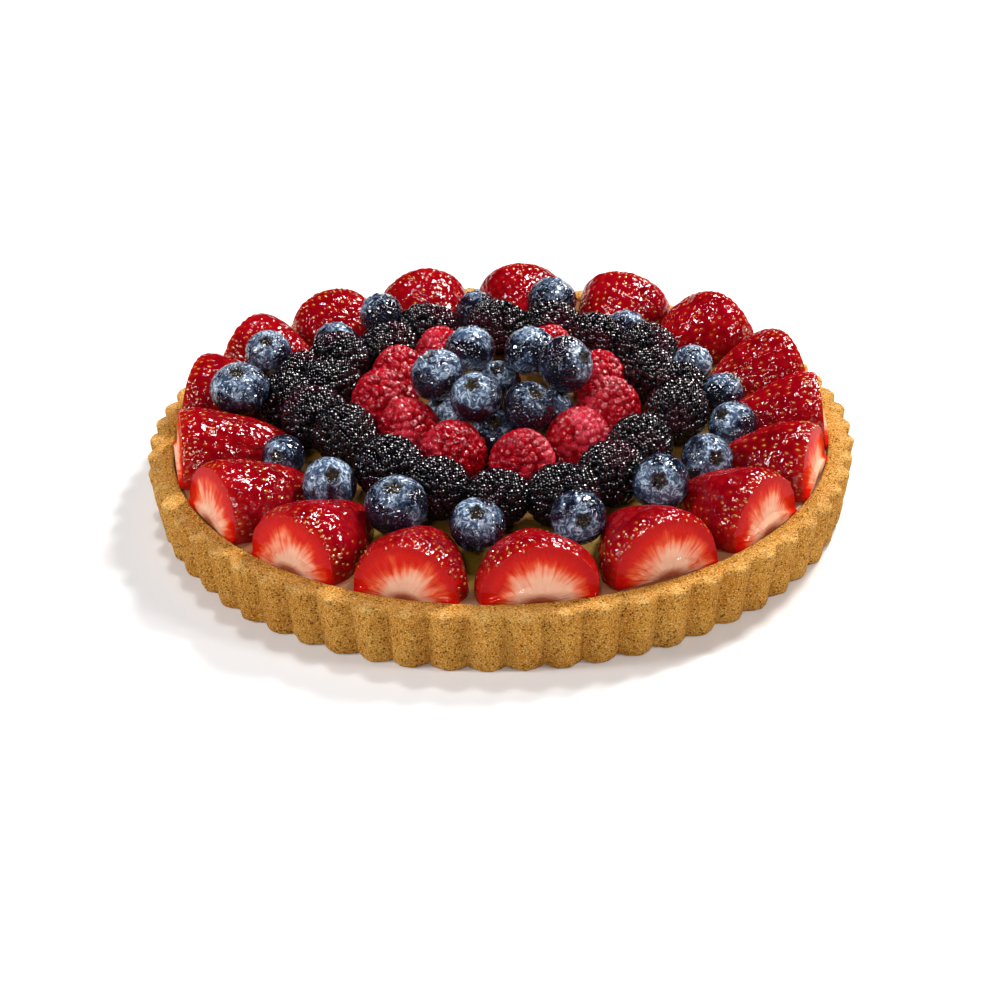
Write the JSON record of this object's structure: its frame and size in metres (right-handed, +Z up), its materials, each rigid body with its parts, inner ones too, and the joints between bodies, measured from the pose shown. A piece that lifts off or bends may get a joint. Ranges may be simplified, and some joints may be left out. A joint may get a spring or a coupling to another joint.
{
  "type": "berry tart",
  "caption": "Round fluted shortbread tart filled level with custard and topped with rings of halved strawberries, blueberries, dark brambles and raspberries.",
  "frame": {"origin": "centre of the underside of the crust, on the surface it stands on", "axes": "+Z up through the middle of the tart, the picture's front side faces -Y"},
  "size_m": [0.23, 0.2298, 0.0511],
  "materials": {
    "pastry": "dry baked shortbread, golden, sandy and slightly pitted",
    "custard": "smooth set custard",
    "strawberry": "glazed red skin with seeds, cut face pale to orange",
    "raspberry": "glazed crimson drupelets",
    "blueberry": "glazed skin with patchy pale bloom",
    "bramble": "glazed near-black drupelets"
  },
  "bodies": {
    "root": {"crust": "pastry", "custard": "custard", "strawberry_01": "strawberry", "strawberry_02": "strawberry", "strawberry_03": "strawberry", "strawberry_04": "strawberry", "strawberry_05": "strawberry", "strawberry_06": "strawberry", "strawberry_07": "strawberry", "strawberry_08": "strawberry", "strawberry_09": "strawberry", "strawberry_10": "strawberry", "strawberry_11": "strawberry", "strawberry_12": "strawberry", "strawberry_13": "strawberry", "strawberry_14": "strawberry", "strawberry_15": "strawberry", "strawberry_16": "strawberry", "strawberry_17": "strawberry", "raspberry_01": "raspberry", "raspberry_02": "raspberry", "raspberry_03": "raspberry", "raspberry_04": "raspberry", "raspberry_05": "raspberry", "raspberry_06": "raspberry", "raspberry_07": "raspberry", "raspberry_08": "raspberry", "raspberry_09": "raspberry", "raspberry_10": "raspberry", "blueberry_outer_01": "blueberry", "blueberry_outer_02": "blueberry", "blueberry_outer_03": "blueberry", "blueberry_outer_04": "blueberry", "blueberry_outer_05": "blueberry", "blueberry_outer_06": "blueberry", "blueberry_outer_07": "blueberry", "blueberry_outer_08": "blueberry", "blueberry_outer_09": "blueberry", "blueberry_outer_10": "blueberry", "blueberry_outer_11": "blueberry", "blueberry_outer_12": "blueberry", "blueberry_outer_13": "blueberry", "blueberry_outer_14": "blueberry", "blueberry_outer_15": "blueberry", "blueberry_outer_16": "blueberry", "blueberry_outer_17": "blueberry", "blueberry_lower_01": "blueberry", "blueberry_lower_02": "blueberry", "blueberry_lower_03": "blueberry", "blueberry_lower_04": "blueberry", "blueberry_upper_01": "blueberry", "blueberry_upper_02": "blueberry", "blueberry_upper_03": "blueberry", "blueberry_upper_04": "blueberry", "blueberry_upper_05": "blueberry", "blueberry_upper_06": "blueberry", "brambles_front": "bramble", "brambles_right": "bramble", "brambles_back": "bramble", "brambles_left": "bramble"}
  },
  "joints": []
}
